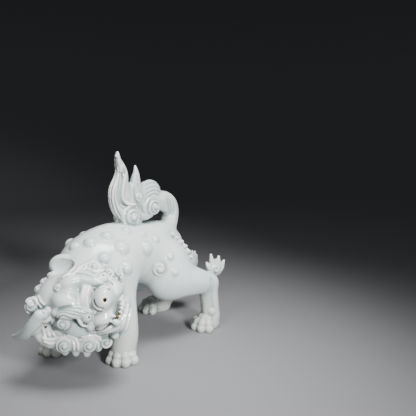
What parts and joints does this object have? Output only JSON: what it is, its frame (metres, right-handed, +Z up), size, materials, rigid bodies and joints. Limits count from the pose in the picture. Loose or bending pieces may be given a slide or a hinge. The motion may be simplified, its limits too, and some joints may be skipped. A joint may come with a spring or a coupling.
{
  "type": "guardian lion figure",
  "caption": "Glazed porcelain guardian lion standing on all fours, head lowered and turned to its left, with curled mane, bosses along the flanks and a raised flame tail.",
  "frame": {"origin": "on the ground, under the middle of the figure's plan", "axes": "+Z up, -Y the way the lion's body faces, +X the lion's left"},
  "size_m": [0.1507, 0.2912, 0.2282],
  "materials": {
    "glaze": "glossy pale blue-white porcelain glaze"
  },
  "bodies": {
    "root": {"lion": "glaze"}
  },
  "joints": []
}
